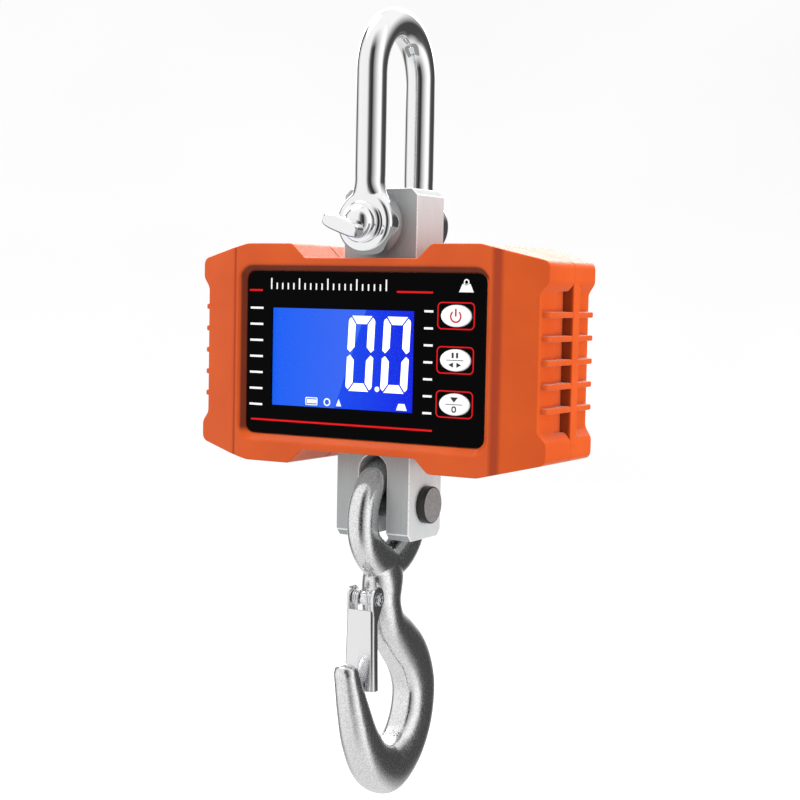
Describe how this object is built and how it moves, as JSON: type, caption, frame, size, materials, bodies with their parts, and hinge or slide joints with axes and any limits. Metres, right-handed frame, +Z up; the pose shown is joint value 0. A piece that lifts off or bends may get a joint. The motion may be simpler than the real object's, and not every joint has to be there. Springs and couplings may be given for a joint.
{
  "type": "hanging scale",
  "caption": "Hanging crane scale: D-shackle and load cell above, orange cast case with blue display and push buttons, and an eye hook with a sprung latch below.",
  "frame": {"origin": "inside of the shackle crown, where the scale hangs from its support", "axes": "+Z up along the hanging line, -Y is the side the display faces, +X to the right across the display"},
  "size_m": [0.15, 0.0714, 0.302],
  "materials": {
    "polished_steel": "mirror-polished",
    "cell_aluminium": "satin, machined",
    "orange_coat": "textured powder coat",
    "panel_black": "printed gloss sheet",
    "window_clear": "clear",
    "lcd_blue": "backlit",
    "button_white": "semi-matte",
    "board_green": "solder mask",
    "black_plastic": "moulded",
    "seal_rubber": "matt",
    "screw_steel": "zinc-plated",
    "forged_zinc": "zinc-plated forging, grainy",
    "latch_zinc": "bright zinc-plated sheet",
    "black_oxide": "black oxide",
    "pack_blue": "shrink sleeve"
  },
  "bodies": {
    "shackle": {"shackle_bow": "polished_steel"},
    "shackle_pin": {"shackle_pin": "polished_steel"},
    "scale": {"backlight": "button_white", "battery_cover": "black_plastic", "battery_cover_screw_1": "screw_steel", "battery_cover_screw_2": "screw_steel", "battery_lead": "seal_rubber", "battery_pack": "pack_blue", "bracket_screw_left": "screw_steel", "bracket_screw_right": "screw_steel", "case_screw_1": "screw_steel", "case_screw_2": "screw_steel", "case_screw_3": "screw_steel", "case_screw_4": "screw_steel", "cell_cable": "black_plastic", "cell_seal_bottom": "seal_rubber", "cell_seal_top": "seal_rubber", "charge_socket": "black_plastic", "controller_chip": "black_plastic", "display_window": "window_clear", "fascia_panel": "panel_black", "front_shell": "orange_coat", "gasket_left": "seal_rubber", "gasket_right": "seal_rubber", "hold_switch": "black_plastic", "hook_pin": "black_oxide", "hook_pin_circlip": "screw_steel", "lcd_panel": "lcd_blue", "load_cell": "cell_aluminium", "main_board": "board_green", "mount_bracket_left": "screw_steel", "mount_bracket_right": "screw_steel", "power_switch": "black_plastic", "rear_shell": "orange_coat", "socket_nut": "screw_steel", "strain_gauge_front": "seal_rubber", "strain_gauge_rear": "seal_rubber", "zero_switch": "black_plastic"},
    "hook": {"hook": "forged_zinc", "latch_rivet": "screw_steel", "latch_spring": "screw_steel"},
    "latch": {"hook_latch": "latch_zinc"},
    "power_button": {"power_button": "button_white"},
    "hold_button": {"hold_button": "button_white"},
    "zero_button": {"zero_button": "button_white"}
  },
  "joints": [
    {"name": "case_swing", "type": "hinge", "parent": "shackle", "child": "scale", "pos_m": [0, 0, -0.0693], "axis": [0, 1, 0], "range_deg": [-75, 75]},
    {"name": "shackle_pin_turn", "type": "hinge", "parent": "shackle", "child": "shackle_pin", "pos_m": [0, 0, -0.0693], "axis": [0, 1, 0], "continuous": true},
    {"name": "hook_swing", "type": "hinge", "parent": "scale", "child": "hook", "pos_m": [0, 0, -0.1751], "axis": [1, 0, 0], "range_deg": [-28, 28]},
    {"name": "latch_pivot", "type": "hinge", "parent": "hook", "child": "latch", "pos_m": [0, -0.016, -0.2104], "axis": [1, 0, 0], "range_deg": [0, 26], "stiffness_Nm_per_rad": 0.03, "springref_deg": -57.3, "deforming": ["latch_spring"]},
    {"name": "power_press", "type": "slide", "parent": "scale", "child": "power_button", "axis": [0, 1, 0], "range_m": [0, 0.0005], "stiffness_N_per_m": 2500, "springref_m": -0.0002},
    {"name": "hold_press", "type": "slide", "parent": "scale", "child": "hold_button", "axis": [0, 1, 0], "range_m": [0, 0.0005], "stiffness_N_per_m": 2500, "springref_m": -0.0002},
    {"name": "zero_press", "type": "slide", "parent": "scale", "child": "zero_button", "axis": [0, 1, 0], "range_m": [0, 0.0005], "stiffness_N_per_m": 2500, "springref_m": -0.0002}
  ]
}
